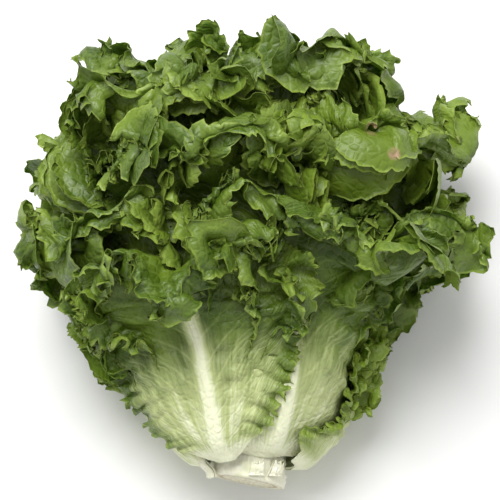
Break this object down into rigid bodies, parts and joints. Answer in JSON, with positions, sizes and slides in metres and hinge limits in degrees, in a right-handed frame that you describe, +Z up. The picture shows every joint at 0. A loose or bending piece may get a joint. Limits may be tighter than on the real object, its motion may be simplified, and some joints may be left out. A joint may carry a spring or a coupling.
{
  "type": "escarole head",
  "caption": "Cut head of frilly green leaves with pale ribs, lying on its side with its stump towards the front.",
  "frame": {"origin": "middle of the head's bounding box in plan, at the level of the surface that it lies on", "axes": "+Z up from the surface; +Y from the cut stump towards the crown, which the head's own axis follows with a 7 degree rise; +X to the right seen from the stump"},
  "size_m": [0.2898, 0.2969, 0.1878],
  "materials": {
    "leaf_green": "waxy leaf",
    "stump_cream": "moist cut stem"
  },
  "bodies": {
    "root": {"stump": "stump_cream", "torn_stub_left": "stump_cream", "torn_stub_middle": "stump_cream", "torn_stub_right": "stump_cream", "leaf_01": "leaf_green", "leaf_02": "leaf_green", "leaf_03": "leaf_green", "leaf_04": "leaf_green", "leaf_05": "leaf_green", "leaf_06": "leaf_green", "leaf_07": "leaf_green", "leaf_08": "leaf_green", "leaf_09": "leaf_green", "leaf_10": "leaf_green", "leaf_11": "leaf_green", "leaf_12": "leaf_green", "leaf_13": "leaf_green", "leaf_14": "leaf_green", "leaf_15": "leaf_green", "leaf_16": "leaf_green", "leaf_17": "leaf_green", "leaf_18": "leaf_green", "leaf_19": "leaf_green", "leaf_20": "leaf_green", "leaf_21": "leaf_green", "leaf_22": "leaf_green"}
  },
  "joints": []
}
